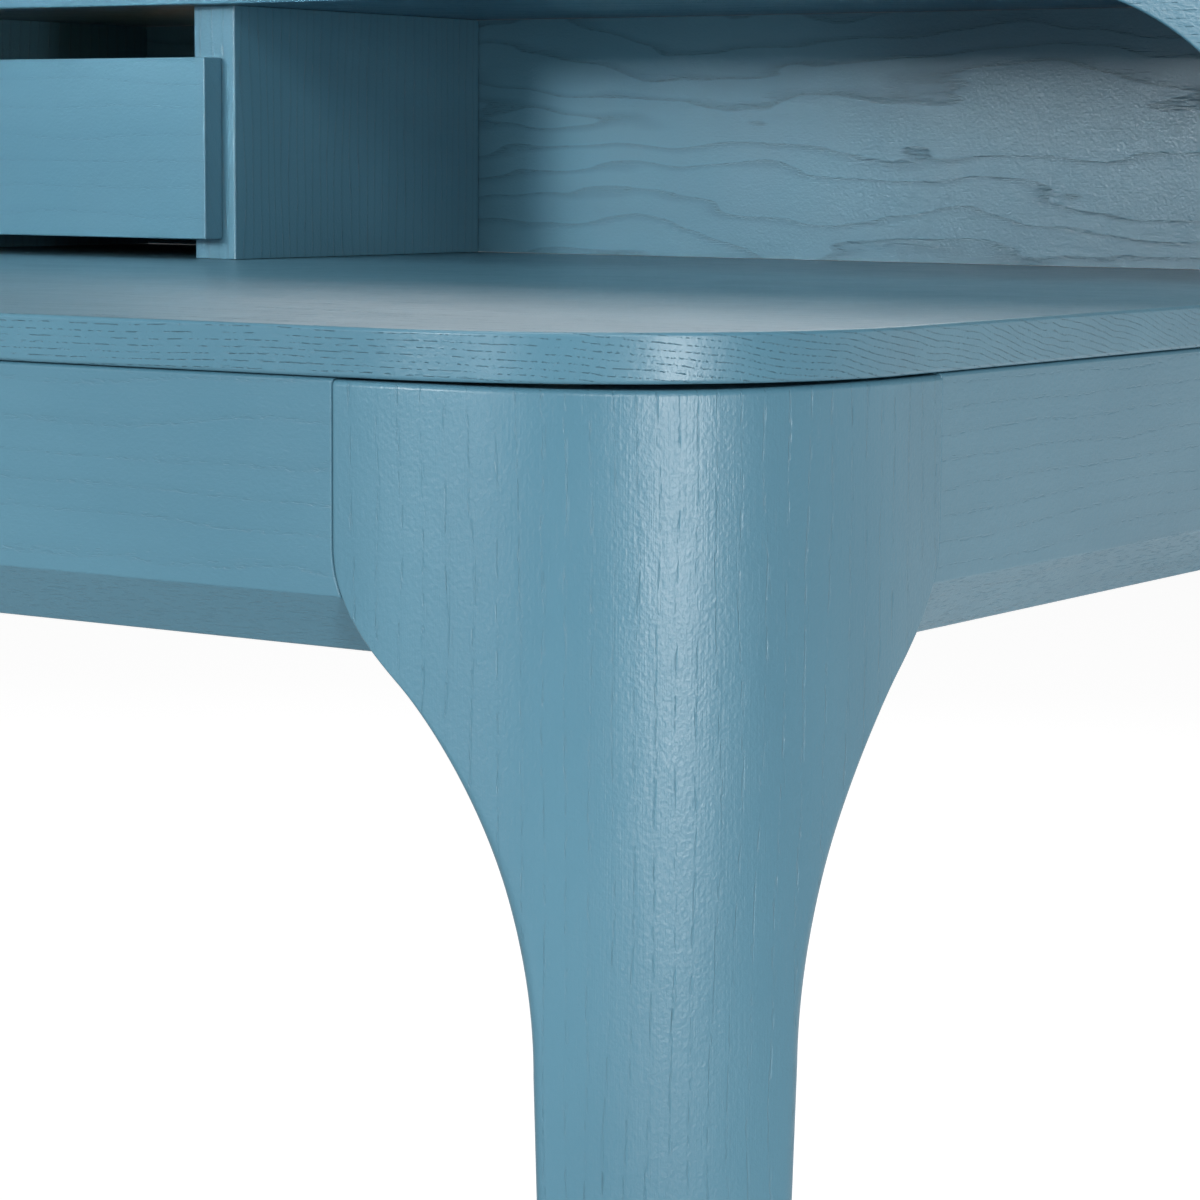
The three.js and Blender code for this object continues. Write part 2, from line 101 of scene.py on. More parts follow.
def add_camera():
    """The desk's front right corner, seen from just above the worktop."""
    yaw, pitch, roll = (math.radians(angle) for angle in CAMERA_TURNS)
    ahead = Vector((-math.sin(yaw) * math.cos(pitch), math.cos(yaw) * math.cos(pitch),
                    -math.sin(pitch)))
    level = Vector((math.cos(yaw), math.sin(yaw), 0))
    lifted = level.cross(ahead)
    right = math.cos(roll) * level + math.sin(roll) * lifted
    up = -math.sin(roll) * level + math.cos(roll) * lifted
    data = bpy.data.cameras.new("camera")
    data.sensor_width = SENSOR
    data.lens = LENS
    data.clip_end = 100
    camera = bpy.data.objects.new("camera", data)
    turn = Matrix((right, up, -ahead)).transposed().to_4x4()
    camera.matrix_world = Matrix.Translation(CAMERA_PLACE) @ turn
    scene.collection.objects.link(camera)
    scene.camera = camera


add_camera()


# ------------------------------------------------------------------ node helpers
class Shader:
    """A material's node tree, with one call per node."""

    def __init__(self, name):
        self.material = bpy.data.materials.new(name)
        self.material.use_nodes = True
        self.nodes = self.material.node_tree.nodes
        self.links = self.material.node_tree.links
        self.bsdf = self.nodes["Principled BSDF"]

    def put(self, socket, value):
        if isinstance(value, bpy.types.NodeSocket):
            self.links.new(value, socket)
        elif value is not None:
            socket.default_value = value

    def node(self, kind, inputs=(), **settings):
        made = self.nodes.new(kind)
        for key, value in settings.items():
            setattr(made, key, value)
        for key, value in dict(inputs).items():
            self.put(made.inputs[key], value)
        return made

    def math(self, operation, a, b=None, c=None):
        made = self.node("ShaderNodeMath", operation=operation)
        for socket, value in zip(made.inputs, (a, b, c)):
            self.put(socket, value)
        return made.outputs[0]

    def vector(self, operation, a, b=None):
        made = self.node("ShaderNodeVectorMath", operation=operation)
        self.put(made.inputs[0], a)
        self.put(made.inputs[1], b)
        return made.outputs["Value"] if operation == "LENGTH" else made.outputs[0]

    def noise(self, vector, scale=1.0, detail=2.0):
        made = self.node("ShaderNodeTexNoise", {
            "Vector": vector, "Scale": scale, "Detail": detail, "Roughness": 0.5})
        return made.outputs["Fac"]

    def step(self, value, low, high, to_low=0.0, to_high=1.0):
        """A smooth step from `to_low` at `low` to `to_high` at `high`."""
        made = self.node("ShaderNodeMapRange", {
            "Value": value, "From Min": low, "From Max": high, "To Min": to_low, "To Max": to_high},
            interpolation_type="SMOOTHSTEP")
        return made.outputs["Result"]

    def mix(self, factor, a, b):
        made = self.node("ShaderNodeMix", data_type="RGBA")
        self.put(made.inputs["Factor"], factor)
        self.put(made.inputs["A"], a)
        self.put(made.inputs["B"], b)
        return made.outputs["Result"]

    def along(self, grain):
        """Object coordinates in millimetres, with the grain's direction first."""
        place = self.node("ShaderNodeTexCoord").outputs["Object"]
        in_mm = self.vector("MULTIPLY", place, (1 / MM, 1 / MM, 1 / MM))
        x, y, z = self.node("ShaderNodeSeparateXYZ", {0: in_mm}).outputs
        order = {"x": (x, y, z), "y": (y, x, z), "z": (z, x, y)}[grain]
        turned = self.node("ShaderNodeCombineXYZ")
        for socket, value in zip(turned.inputs, order):
            self.put(socket, value)
        return turned.outputs[0]

    def stretched(self, vector, length, width):
        """Coordinates in which a cell is `length` long along the grain and `width` across."""
        return self.vector("MULTIPLY", vector, (1 / length, 1 / width, 1 / width))

    def bump(self, height):
        """Relief from a height in millimetres."""
        made = self.node("ShaderNodeBump", {"Strength": 1.0, "Distance": MM, "Height": height})
        self.links.new(made.outputs[0], self.bsdf.inputs["Normal"])


def srgb(red, green, blue):
    """The linear colour of display values from 0 to 255."""
    def linear(value):
        value /= 255
        return value / 12.92 if value <= 0.04045 else ((value + 0.055) / 1.055) ** 2.4
    return (linear(red), linear(green), linear(blue), 1.0)


# ------------------------------------------------------------------ materials
LACQUER = srgb(78, 123, 142)
LACQUER_SHADE = srgb(73, 117, 136)
PORE_SHADE = srgb(36, 66, 80)
PORE_WIDTH = 0.45
SKIN_HEIGHT = 0.14                  # relief of the lacquer's orange peel
SWELL_HEIGHT = 0.12                 # and of the slower waves under it
SATIN = (0.285, 0.325)              # the lacquer's roughness varies between these


def growth_rings(shader, grain_space, pith, spacing, wander):
    """Distance through the growth rings as a saw-tooth from 0 to 1.

    `pith` is the rings' centre across the grain; `wander` is how far they sway."""
    drift = shader.noise(shader.stretched(grain_space, 190, 45), detail=3)
    flat = shader.vector("MULTIPLY", grain_space, (0, 1, 1))
    radius = shader.vector("LENGTH", shader.vector("SUBTRACT", flat, (0, *pith)))
    swayed = shader.math("MULTIPLY_ADD", drift, wander, radius)
    return shader.math("FRACT", shader.math("DIVIDE", swayed, spacing))


def painted_ash(name, grain, pith, wander, density, groove, shade, spacing=7.0, pore_length=12.0,
                depth=0.11, tone=0.05, hair=0.02, peel=1.0, whole=0.5, open_below=False):
    """Satin lacquer over open-pored ash.

    Each growth ring begins with a broken groove `groove` deep; a lower `whole` leaves fewer
    breaks. Between the grooves lie scattered pores `depth` deep, more of them as `density` rises.
    `tone` darkens the early wood, `shade` the pores and grooves. Fine hairs along the grain and
    orange peel cover it all. `open_below` leaves the pores open on faces that look down."""
    shader = Shader(name)
    space = shader.along(grain)
    saw = growth_rings(shader, space, pith, spacing, wander)
    ring_start = shader.step(saw, 0.0, 0.05)
    band = shader.math("MULTIPLY", shader.step(saw, 0.05, 0.42, 1.0, 0.0), ring_start)

    edge = 0.72 - 0.14 * density
    streaks = shader.noise(shader.stretched(space, pore_length, PORE_WIDTH), detail=1.5)
    patches = shader.step(shader.noise(shader.stretched(space, 60, 14)), 0.36, 0.58)
    strength = shader.math("MULTIPLY", shader.math("MULTIPLY_ADD", band, 0.85, 0.15), patches)
    pores = shader.math("MULTIPLY", shader.step(streaks, edge, edge + 0.07), strength)

    line = shader.math("MULTIPLY", ring_start, shader.step(saw, 0.17, 0.09))
    gaps = shader.noise(shader.stretched(space, pore_length * 0.6, 0.8), detail=3)
    line = shader.math("MULTIPLY", line, shader.step(gaps, whole, whole + 0.12))

    if open_below:
        normal = shader.node("ShaderNodeNewGeometry").outputs["Normal"]
        facing = shader.node("ShaderNodeSeparateXYZ", {0: normal})
        below = shader.step(facing.outputs[2], -0.2, -0.4, 0.0, 1.0)
        short = shader.noise(shader.stretched(space, 5.0, 0.5), detail=2)
        open_pores = shader.math("MULTIPLY", shader.step(short, 0.55, 0.66), below)
        pores = shader.math("MAXIMUM", pores, open_pores)

    skin = shader.noise(shader.stretched(space, 1.5, 1.2), detail=2)
    swell = shader.noise(shader.stretched(space, 14, 9), detail=1)
    hairs = shader.noise(shader.stretched(space, 28, 0.45), detail=2)
    height = shader.math("MULTIPLY", skin, SKIN_HEIGHT * peel)
    height = shader.math("MULTIPLY_ADD", swell, SWELL_HEIGHT * peel, height)
    height = shader.math("MULTIPLY_ADD", hairs, hair, height)
    height = shader.math("MULTIPLY_ADD", pores, -depth, height)
    height = shader.math("MULTIPLY_ADD", line, -groove, height)
    shader.bump(height)

    cloud = shader.step(shader.noise(shader.stretched(space, 220, 60)), 0.3, 0.7)
    tint = shader.mix(cloud, LACQUER_SHADE, LACQUER)
    darker = shader.math("MULTIPLY", shader.math("MAXIMUM", pores, line), shade)
    darker = shader.math("MULTIPLY_ADD", band, tone, darker)
    shader.put(shader.bsdf.inputs["Base Color"], shader.mix(darker, tint, PORE_SHADE))
    gloss = shader.noise(shader.stretched(space, 30, 30), detail=3)
    roughness = shader.step(gloss, 0.3, 0.7, *SATIN)
    roughness = shader.math("MULTIPLY_ADD", pores, 0.15, roughness)
    shader.put(shader.bsdf.inputs["Roughness"], roughness)
    shader.bsdf.inputs["IOR"].default_value = 1.5
    return shader.material


def bare_timber(name, grain, light, dark, spacing=3.5, rough=0.62):
    """Sanded timber with thin darker latewood lines and short rays."""
    shader = Shader(name)
    space = shader.along(grain)
    saw = growth_rings(shader, space, (300, -500), spacing, 30.0)
    late = shader.step(saw, 0.55, 0.95)
    flecks = shader.step(shader.noise(shader.stretched(space, 5, 0.4)), 0.6, 0.72)
    cloud = shader.noise(shader.stretched(space, 90, 20))
    tone = shader.math("MULTIPLY_ADD", cloud, 0.5, shader.math("MULTIPLY", late, 0.45))
    tone = shader.math("MULTIPLY_ADD", flecks, 0.35, tone)
    shader.put(shader.bsdf.inputs["Base Color"], shader.mix(tone, light, dark))
    height = shader.math("MULTIPLY_ADD", flecks, -0.05, shader.math("MULTIPLY", late, 0.03))
    shader.bump(height)
    shader.bsdf.inputs["Roughness"].default_value = rough
    return shader.material


def zinc_steel():
    """Bright zinc plating with faint spangle and brushing."""
    shader = Shader("zinc_steel")
    space = shader.along("x")
    brushed = shader.noise(shader.stretched(space, 6, 0.3), detail=3)
    spangle = shader.noise(space, scale=0.25, detail=2)
    shader.put(shader.bsdf.inputs["Base Color"],
               shader.mix(spangle, srgb(168, 172, 176), srgb(205, 208, 210)))
    shader.put(shader.bsdf.inputs["Roughness"], shader.step(brushed, 0.3, 0.7, 0.24, 0.42))
    shader.bsdf.inputs["Metallic"].default_value = 1.0
    shader.bump(shader.math("MULTIPLY", brushed, 0.006))
    return shader.material


def glide_plastic():
    """Dark moulded plastic with a fine grain."""
    shader = Shader("glide_plastic")
    space = shader.along("x")
    grainy = shader.noise(space, scale=2.5, detail=3)
    shader.put(shader.bsdf.inputs["Base Color"],
               shader.mix(grainy, srgb(30, 31, 33), srgb(44, 45, 47)))
    shader.put(shader.bsdf.inputs["Roughness"], shader.step(grainy, 0.2, 0.8, 0.5, 0.65))
    shader.bump(shader.math("MULTIPLY", grainy, 0.03))
    return shader.material


LEG_ASH = painted_ash("leg_ash", "z", pith=(-60, -1000), wander=16, density=0.3, groove=0.14,
                      shade=0.0, spacing=6.6, depth=0.12, tone=0.02, hair=0.05, peel=0.9)
TOP_ASH = painted_ash("top_ash", "x", pith=(-650, -1800), wander=9, density=0.8, groove=0.28,
                      shade=0.22, spacing=2.1, pore_length=4.5, depth=0.2, tone=0.02, peel=0.6,
                      whole=0.49)
APRON_LOOK = dict(wander=15, density=0.3, groove=0.05, shade=0.06, pore_length=6, depth=0.08,
                  peel=0.6, open_below=True)
APRON_X_ASH = painted_ash("long_apron_ash", "x", pith=(-900, 300), **APRON_LOOK)
APRON_Y_ASH = painted_ash("side_apron_ash", "y", pith=(900, 300), **APRON_LOOK)
UPRIGHT_ASH = painted_ash("upright_ash", "z", pith=(500, -300), wander=18, density=0.6,
                          groove=0.15, shade=0.15, spacing=5, tone=0.2)
PANEL_ASH = painted_ash("panel_ash", "x", pith=(345, 815), wander=70, density=0.75, groove=0.12,
                        shade=0.15, spacing=13, pore_length=9, depth=0.16, tone=0.3)
FRONT_ASH = painted_ash("drawer_ash", "x", pith=(-400, 500), wander=12, density=0.3, groove=0.05,
                        shade=0.08, spacing=6, pore_length=7, depth=0.06)
SHELF_ASH = painted_ash("shelf_ash", "x", pith=(100, -900), wander=12, density=0.6, groove=0.2,
                        shade=0.25, spacing=3, pore_length=4.5, depth=0.15)
BEECH_TONES = (srgb(214, 176, 132), srgb(176, 132, 88))
BIRCH_TONES = (srgb(228, 206, 168), srgb(196, 166, 124))
BEECH = bare_timber("beech", "x", *BEECH_TONES)
BEECH_Y = bare_timber("beech_across", "y", *BEECH_TONES)
BIRCH = bare_timber("birch_board", "x", *BIRCH_TONES, spacing=5, rough=0.5)
STEEL = zinc_steel()
PLASTIC = glide_plastic()


# ------------------------------------------------------------------ mesh helpers
SHARP = math.radians(35)            # a smaller angle between faces is shaded smooth
WELD, SLIVER = 0.004, 0.002         # closer points merge; shorter edges go
CAD_WELD = 0.01                     # the same for a copy of a CAD solid
FLAT = math.radians(1)              # facets turned by less than this are one flat face


def finish_mesh(name, bm, material, body, nodes):
    """Turns a bmesh in millimetres into a piece that stands for CAD nodes."""
    bmesh.ops.remove_doubles(bm, verts=bm.verts, dist=WELD)
    bmesh.ops.dissolve_degenerate(bm, edges=bm.edges, dist=SLIVER)
    bmesh.ops.recalc_face_normals(bm, faces=bm.faces)
    for face in bm.faces:
        face.smooth = True
    for edge in bm.edges:
        edge.smooth = len(edge.link_faces) != 2 or edge.calc_face_angle() < SHARP
    bmesh.ops.scale(bm, verts=bm.verts, vec=(MM, MM, MM))
    mesh = bpy.data.meshes.new(name)
    bm.to_mesh(mesh)
    bm.free()
    piece = bpy.data.objects.new(name, mesh)
    scene.collection.objects.link(piece)
    mesh.materials.append(material)
    weigh = piece.modifiers.new("weighted_normals", "WEIGHTED_NORMAL")
    weigh.keep_sharp = True
    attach(piece, body)
    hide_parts(*nodes)


def skin_piece(name, rings, material, node):
    """A lacquered piece of the frame, from closed rings of equally many points."""
    bm = bmesh.new()
    loops = [[bm.verts.new(point) for point in ring] for ring in rings]
    count = len(loops[0])
    for low, high in zip(loops, loops[1:]):
        for i in range(count):
            j = (i + 1) % count
            bm.faces.new((low[i], low[j], high[j], high[i]))
    bm.faces.new(loops[0])
    bm.faces.new(list(reversed(loops[-1])))
    finish_mesh(name, bm, material, "frame", [node])


def arc(centre, radius, start, end, steps):
    """Points on an arc, angles in degrees, both ends included."""
    angles = np.radians(np.linspace(start, end, steps + 1))
    return [(centre[0] + radius * math.cos(a), centre[1] + radius * math.sin(a)) for a in angles]


def rounded(corners, radius, steps):
    """The outline with each corner replaced by a small arc of `steps` flats."""
    points = []
    count = len(corners)
    for i, corner in enumerate(corners):
        here = Vector(corner)
        back = (Vector(corners[i - 1]) - here).normalized()
        on = (Vector(corners[(i + 1) % count]) - here).normalized()
        half = back.angle(on) / 2
        reach = radius / math.tan(half)
        centre = here + (back + on).normalized() * (radius / math.sin(half))
        first = here + back * reach - centre
        last = here + on * reach - centre
        sweep = first.angle(last)
        for k in range(steps + 1):
            t = k / steps
            mixed = first * math.sin((1 - t) * sweep) + last * math.sin(t * sweep)
            points.append(tuple(centre + mixed / math.sin(sweep)))
    return points


def node_box(node):
    """The CAD node's box as its low and high corners, in millimetres."""
    return [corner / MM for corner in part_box(node)]


def inset(outline, amount):
    """The outline moved in by `amount` along its mitred normals; it runs anticlockwise."""
    points = np.array(outline)
    before = points - np.roll(points, 1, axis=0)
    after = np.roll(points, -1, axis=0) - points
    before /= np.linalg.norm(before, axis=1)[:, None]
    after /= np.linalg.norm(after, axis=1)[:, None]
    normal_a = np.stack([-before[:, 1], before[:, 0]], axis=1)
    normal_b = np.stack([-after[:, 1], after[:, 0]], axis=1)
    total = normal_a + normal_b
    scale = 2 / (total ** 2).sum(axis=1)
    return [tuple(p) for p in points + total * (scale * amount)[:, None]]


# ------------------------------------------------------------------ worktop
def build_worktop():
    """A board with large front corners, small rear ones and rounded arrises."""
    front_x, front_y = HALF_W - FRONT_RADIUS, -HALF_D + FRONT_RADIUS
    rear_x, rear_y = HALF_W - REAR_RADIUS, HALF_D - REAR_RADIUS
    outline = (arc((front_x, front_y), FRONT_RADIUS, -90, 0, 48)
               + arc((rear_x, rear_y), REAR_RADIUS, 0, 90, 12)
               + arc((-rear_x, rear_y), REAR_RADIUS, 90, 180, 12)
               + arc((-front_x, front_y), FRONT_RADIUS, 180, 270, 48))
    turns = [math.radians(90 * k / EASE_STEPS) for k in range(EASE_STEPS + 1)]
    lower = [(TOP_EASE * (1 - math.sin(a)), UNDERSIDE + TOP_EASE * (1 - math.cos(a)))
             for a in turns]
    upper = [(TOP_EASE * (1 - math.cos(a)), WORK_HEIGHT - TOP_EASE * (1 - math.sin(a)))
             for a in turns]
    rings = [[(x, y, z) for x, y in inset(outline, step)] for step, z in lower + upper]
    skin_piece("rounded_worktop", rings, TOP_ASH, "worktop")


# ------------------------------------------------------------------ legs
def bezier(points, steps):
    a, b, c, d = (np.array(p, float) for p in points)
    t = np.linspace(0, 1, steps)[:, None]
    return (1 - t) ** 3 * a + 3 * (1 - t) ** 2 * t * b + 3 * (1 - t) * t ** 2 * c + t ** 3 * d


def width_at(heights, wing, shaft, foot):
    """Leg width at each height: straight taper, concave sweep, rounded shoulder, upright end."""
    swing_out = shaft + (wing - shaft) * 0.6
    sweep = bezier([(shaft, TAPER_TOP), (shaft, TAPER_TOP + 45), (swing_out - 22, SWING - 24),
                    (swing_out, SWING)], 60)
    crown = bezier([(swing_out, SWING), (swing_out + 12, SWING + 12), (wing, SHOULDER - 18),
                    (wing, SHOULDER)], 40)
    curve = np.concatenate([[(foot, GLIDE_THICK)], sweep, crown, [(wing, UNDERSIDE)]])
    return np.interp(heights, curve[:, 1], curve[:, 0])


def smooth_step(value, low, high):
    t = np.clip((value - low) / (high - low), 0, 1)
    return t * t * (3 - 2 * t)


def ease_depth(past, radius):
    """How far a rounded arris lies under the face, `past` beyond where the rounding starts."""
    return radius - np.sqrt(np.maximum(radius ** 2 - past ** 2, 0))


class OuterCorner:
    """The leg's outer face in plan: two flats joined by a large arc."""

    def __init__(self, radius):
        self.radius = radius
        self.centre = LEG_SET + radius

    def start(self, width, depth):
        """The face's start at `width` along the wing: its turn on the arc and its flat length."""
        share = (self.centre - width) / (self.radius - depth)
        return math.asin(min(max(share, 0.0), 1.0)), max(width - self.centre, 0.0)

    def point(self, turn, depth):
        """A point `depth` under the face; `turn` runs from the front flat to the side flat."""
        reach = self.radius - depth
        return (self.centre - reach * math.sin(turn), self.centre - reach * math.cos(turn))


def wing_edge(corner, width, edge, depth):
    """The rounded edge between the wing's outer face and its end, from the face outwards."""
    steps = 6
    turn, flat = corner.start(width - edge, edge + depth)
    u, v = corner.point(turn, edge + depth)
    points = []
    for k in range(steps + 1):
        angle = -(math.pi / 2 + turn) * (1 - k / steps)
        points.append((u + flat + edge * math.cos(angle), v + edge * math.sin(angle)))
    return points, turn, flat


def leg_section(corner, front, side, edge, depth):
    """The outer faces at one level, from the front wing's end round to the side wing's end."""
    arc_steps, flat_steps = 56, 6
    front_edge, front_turn, front_flat = wing_edge(corner, front, edge, depth)
    side_edge, side_turn, side_flat = wing_edge(corner, side, edge, depth)
    points = list(reversed(front_edge))
    u, v = corner.point(front_turn, depth)
    points += [(u + front_flat * (1 - k / flat_steps), v) for k in range(1, flat_steps + 1)]
    span = math.pi / 2 - side_turn - front_turn
    turns = [front_turn + span * k / arc_steps for k in range(1, arc_steps + 1)]
    points += [corner.point(turn, depth) for turn in turns]
    v, u = corner.point(side_turn, depth)
    points += [(u, v + side_flat * k / flat_steps) for k in range(1, flat_steps + 1)]
    return points + [(p, q) for q, p in side_edge[1:]]


def inner_path():
    """Inner faces of the leg in plan, from the front wing round the block to the side wing."""
    block_u = FRONT_PROFILE["shaft"] + 1
    block_v = SIDE_PROFILE["shaft"] + 1
    fillet, chamfer, far = 10, 14, 500
    path = [(far, WING_THICK)]
    path += arc((block_u + fillet, WING_THICK + fillet), fillet, -90, -180, 6)
    path += [(block_u, block_v - chamfer), (block_u - chamfer, block_v)]
    path += arc((WING_THICK + fillet, block_v + fillet), fillet, -90, -180, 6)
    path.append((WING_THICK, far))
    return path


def build_leg(end_name, end, side_name, side):
    """One leg as rings from its foot to its crown; the crown dips where the corner bends."""
    radius = FRONT_RADIUS + LEG_BEND if end < 0 else REAR_RADIUS
    corner = OuterCorner(radius)
    foot_start = GLIDE_THICK + FOOT_EASE
    crown_start = LEG_TOP - CROWN_EASE
    levels = np.concatenate([
        GLIDE_THICK + FOOT_EASE * (1 - np.cos(np.radians([0, 30, 60, 90]))),
        np.linspace(20, TAPER_TOP, 30),
        np.linspace(TAPER_TOP, SHOULDER, 70)[1:],
        np.linspace(SHOULDER, crown_start, 10)[1:],
        crown_start + CROWN_EASE * np.sin(np.radians([18, 36, 54, 72, 90])),
    ])
    depths = (ease_depth(np.maximum(foot_start - levels, 0), FOOT_EASE)
              + ease_depth(np.maximum(levels - crown_start, 0), CROWN_EASE))
    fronts = width_at(levels, **FRONT_PROFILE)
    sides = width_at(levels, **SIDE_PROFILE)
    edges = WING_EASE + (SHAFT_EASE - WING_EASE) * smooth_step(UNDERSIDE - levels, 70, 150)
    inner = list(reversed(inner_path()))
    rings = []
    for z, depth, front, side_width, edge in zip(levels, depths, fronts, sides, edges):
        section = leg_section(corner, front, side_width, edge, depth)
        section += [(min(u, front), min(v, side_width)) for u, v in inner]
        rise = smooth_step(z, UNDERSIDE - 25, LEG_TOP)
        ring = []
        for u, v in section:
            bend = max(0.0, 1 - abs(u - v) / radius) if end < 0 else REAR_BEND
            dip = (WING_DIP + (SHADOW_GAP - WING_DIP) * smooth_step(bend, 0, 1)) * rise
            ring.append((side * (HALF_W - u), end * (HALF_D - v), z - dip))
        rings.append(ring)
    node = f"{end_name}_{side_name}_leg"
    skin_piece(node + "_body", rings, LEG_ASH, node)


# ------------------------------------------------------------------ straight mouldings
def prism(name, node, axis, ease, steps, material):
    """The node's box with its four long arrises rounded, along `axis`."""
    low, high = node_box(node)
    a, b = [i for i in range(3) if i != axis]
    outline = [(low[a], low[b]), (high[a], low[b]), (high[a], high[b]), (low[a], high[b])]
    rings = []
    for place in (low[axis], high[axis]):
        ring = []
        for across in rounded(outline, ease, steps):
            point = list(across)
            point.insert(axis, place)
            ring.append(tuple(point))
        rings.append(ring)
    skin_piece(name, rings, material, node)


def build_apron(node, axis, sign, profile, material):
    """Upright face with a bevel under it, lofted upwards; the ends follow the legs' shoulders."""
    low, high = node_box(node)
    near, far = (high[1 - axis], low[1 - axis])
    outer, inner = (near, far) if sign > 0 else (far, near)
    corners = [(outer, high.z), (outer, UNDERSIDE - APRON_FACE), (outer - sign * BEVEL_DEEP, low.z),
               (inner, low.z), (inner, high.z)]
    outer_points = 3 * (EASE_STEPS + 1)
    face = np.array(rounded(corners, APRON_EASE, EASE_STEPS)[:outer_points][::-1])
    slices = np.arange(low.z + 3, UNDERSIDE - 40, LOFT_STEP)
    levels = np.unique(np.concatenate([face[:, 1], slices]))
    half = HALF_W if axis == 0 else HALF_D
    reach = half - width_at(levels, **profile) - JOINT_GAP
    rings = []
    for z, end, front in zip(levels, reach, np.interp(levels, face[:, 1], face[:, 0])):
        plan = [(-end, front), (end, front), (end, inner), (-end, inner)]
        rings.append([(a, b, z) if axis == 0 else (b, a, z)
                      for a, b in rounded(plan, APRON_END_EASE, 3)])
    skin_piece(node + "_moulding", rings, material, node)


# ------------------------------------------------------------------ shelf unit
def build_curved_end(side_name, side):
    """A quarter ring with the shelf's own rounded section, from the shelf to the worktop."""
    node = f"{side_name}_curved_end"
    low, high = node_box(node)
    start_x = low.x if side > 0 else -high.x
    outer = (high.x if side > 0 else -low.x) - start_x
    inner = outer - (SHELF_HIGH.z - SHELF_LOW.z)
    corners = [(inner, low.y), (outer, low.y), (outer, high.y), (inner, high.y)]
    section = rounded(corners, SHELF_EASE, EASE_STEPS)
    rings = []
    for angle in np.radians(np.linspace(0, 90, 49)):
        rings.append([(side * (start_x + r * math.cos(angle)), y, low.z + r * math.sin(angle))
                      for r, y in section])
    skin_piece(f"{node}_arch", rings, SHELF_ASH, node)


def build_back_panel():
    """A flat panel whose upper corners follow the curved ends."""
    low, high = node_box("back_panel")
    radius = high.z - low.z
    start = high.x - radius
    outline = arc((start, low.z), radius, 0, 90, 40) + arc((-start, low.z), radius, 90, 180, 40)
    rings = [[(x, y, z) for x, z in outline] for y in (low.y, high.y)]
    skin_piece("arched_back_panel", rings, PANEL_ASH, "back_panel")


# ------------------------------------------------------------------ eased copies of CAD solids
def eased(node, material, width, body, segments=2):
    """The CAD solid with its arrises rounded by `width` millimetres."""
    bm = bmesh.new()
    bm.from_mesh(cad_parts[node].data)
    bmesh.ops.scale(bm, verts=bm.verts, vec=(1 / MM, 1 / MM, 1 / MM))
    bmesh.ops.remove_doubles(bm, verts=bm.verts, dist=CAD_WELD)
    bmesh.ops.dissolve_limit(bm, angle_limit=FLAT, verts=bm.verts, edges=bm.edges)
    arrises = [e for e in bm.edges if len(e.link_faces) == 2 and e.calc_face_angle() > SHARP]
    bmesh.ops.bevel(bm, geom=arrises, offset=width, offset_type="OFFSET", segments=segments,
                    profile=0.5, affect="EDGES", clamp_overlap=True)
    finish_mesh(node + "_eased", bm, material, body, [node])


def repaint(node, material):
    """Gives a CAD piece that stays as it is its material."""
    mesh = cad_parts[node].data
    mesh.materials.clear()
    mesh.materials.append(material)


# ------------------------------------------------------------------ build it all
build_worktop()
for corner_data in CORNERS:
    build_leg(*corner_data)
build_apron("front_apron", 0, -1, FRONT_PROFILE, APRON_X_ASH)
build_apron("rear_apron", 0, 1, FRONT_PROFILE, APRON_X_ASH)
build_apron("left_apron", 1, -1, SIDE_PROFILE, APRON_Y_ASH)
build_apron("right_apron", 1, 1, SIDE_PROFILE, APRON_Y_ASH)
prism("shelf_board", "shelf", 0, SHELF_EASE, EASE_STEPS, SHELF_ASH)
for side_label, side_sign in SIDES:
    build_curved_end(side_label, side_sign)
    upright = f"{side_label}_partition"
    prism(upright + "_board", upright, 2, PARTITION_EASE, 3, UPRIGHT_ASH)
build_back_panel()

eased("drawer_front", FRONT_ASH, 1.0, "drawer", 3)
for board in ("drawer_box_front", "drawer_left_side", "drawer_right_side", "drawer_back"):
    eased(board, BIRCH, 0.6, "drawer")
eased("drawer_floor", BIRCH, 0.3, "drawer")
for end_label, _, side_label, _ in CORNERS:
    eased(f"{end_label}_{side_label}_corner_block", BEECH, 1.0, "frame")
    eased(f"{end_label}_{side_label}_leg_bolt", STEEL, 0.6, "frame")
    eased(f"{end_label}_{side_label}_leg_nut", STEEL, 0.5, "frame")
    eased(f"{end_label}_{side_label}_glide", PLASTIC, 0.3, "frame")
for side_label, _ in SIDES:
    eased(f"{side_label}_cross_rail", BEECH_Y, 1.0, "frame")
    for part in ("runner_rail", "runner_slide", "partition_screw_1", "partition_screw_2"):
        repaint(f"{side_label}_{part}", STEEL)
    for part in ("shelf_dowel_1", "shelf_dowel_2", "end_dowel_1", "end_dowel_2"):
        repaint(f"{side_label}_{part}", BEECH)
for number in (1, 2):
    repaint(f"drawer_front_screw_{number}", STEEL)


# ------------------------------------------------------------------ floor, world and lights
WHITE = (1, 1, 1, 1)
FLOOR_REACH = 40                    # half the floor's side, in metres
FLOOR_GAP = 0.0002                  # keeps the glides' faces off the floor's
GLOW_PLACE = (-0.4, 1.0)            # the floor's painted glow grows between these places along Y
GLOW = (0.12, 0.85)                 # from this strength to this
WORLD_STRENGTH = 0.2
LEG_CROWN = (0.7, -0.35, 0.75)      # what the softboxes aim at
BAY_MOUTH = (0.11, 0.2, 0.98)       # what the small one aims at, above the shelf's bay

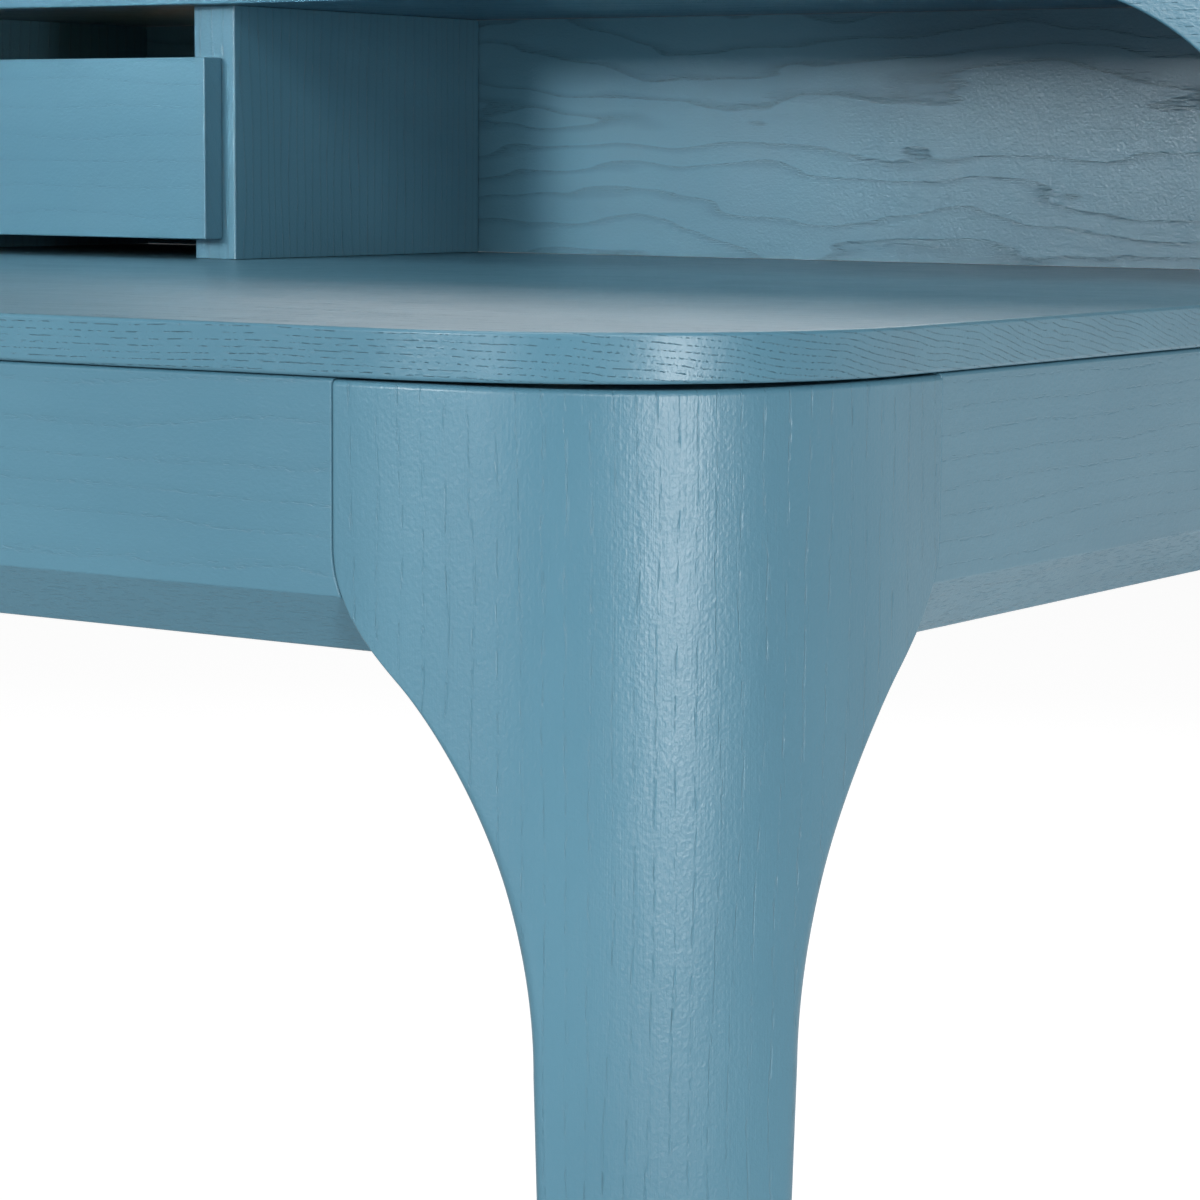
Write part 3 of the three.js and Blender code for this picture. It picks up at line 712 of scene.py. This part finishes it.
# Name, azimuth, elevation, distance, width, height, power.
SOFTBOXES = (
    ("front_softbox", -17, 14, 6.5, 2.4, 1.6, 228),
    ("front_strip", 3, 7, 2.8, 0.16, 1.5, 11),
    ("side_softbox", 62, -1, 2.6, 0.26, 1.0, 31),
    ("side_fill", 48, 26, 3.0, 0.9, 0.9, 27),
    ("top_softbox", -30, 74, 2.3, 1.6, 1.6, 25),
    ("rear_softbox", 208, 26, 3.6, 1.8, 1.2, 22),
    ("left_panel", -36, 14, 3.5, 1.6, 1.4, 4),
    ("right_panel", 132, 6, 3.2, 2.0, 1.2, 5.5),
)


def add_floor():
    """A plain pale floor with a painted glow, brightest behind the desk, as if a white wall were
    lit there.
    """
    bm = bmesh.new()
    bmesh.ops.create_grid(bm, x_segments=1, y_segments=1, size=FLOOR_REACH)
    mesh = bpy.data.meshes.new("floor")
    bm.to_mesh(mesh)
    bm.free()
    floor = bpy.data.objects.new("floor", mesh)
    floor.location.z = -FLOOR_GAP
    scene.collection.objects.link(floor)
    shader = Shader("floor_painted_glow")
    shader.bsdf.inputs["Base Color"].default_value = (0.4, 0.4, 0.4, 1)
    shader.bsdf.inputs["Roughness"].default_value = 0.8
    shader.bsdf.inputs["Emission Color"].default_value = WHITE
    place = shader.node("ShaderNodeTexCoord").outputs["Object"]
    back = shader.node("ShaderNodeSeparateXYZ", {0: place}).outputs[1]
    # Painted glow: the floor's emission rises from its front to its back, in place of a lit white
    # wall behind the desk.
    glow = shader.step(back, *GLOW_PLACE, *GLOW)
    shader.put(shader.bsdf.inputs["Emission Strength"], glow)
    mesh.materials.append(shader.material)


def add_world():
    world = bpy.data.worlds.new("studio")
    world.use_nodes = True
    background = world.node_tree.nodes["Background"]
    background.inputs["Color"].default_value = WHITE
    background.inputs["Strength"].default_value = WORLD_STRENGTH
    scene.world = world


def add_softbox(name, azimuth, elevation, distance, width, height, power, spread=180,
                target=LEG_CROWN):
    """An area light aimed at `target`; azimuth is from the desk's front round to its right."""
    a, e = math.radians(azimuth), math.radians(elevation)
    away = Vector((math.sin(a) * math.cos(e), -math.cos(a) * math.cos(e), math.sin(e)))
    data = bpy.data.lights.new(name, "AREA")
    data.shape = "RECTANGLE"
    data.size = width
    data.size_y = height
    data.energy = power
    data.spread = math.radians(spread)
    lamp = bpy.data.objects.new(name, data)
    lamp.visible_camera = False
    lamp.location = Vector(target) + away * distance
    lamp.rotation_euler = away.to_track_quat("Z", "Y").to_euler()
    scene.collection.objects.link(lamp)


add_floor()
add_world()
for softbox in SOFTBOXES:
    add_softbox(*softbox)
add_softbox("bay_softbox", -12, 6, 2.5, 0.4, 0.3, 0.5, spread=18, target=BAY_MOUTH)
scene.view_settings.view_transform = "Standard"
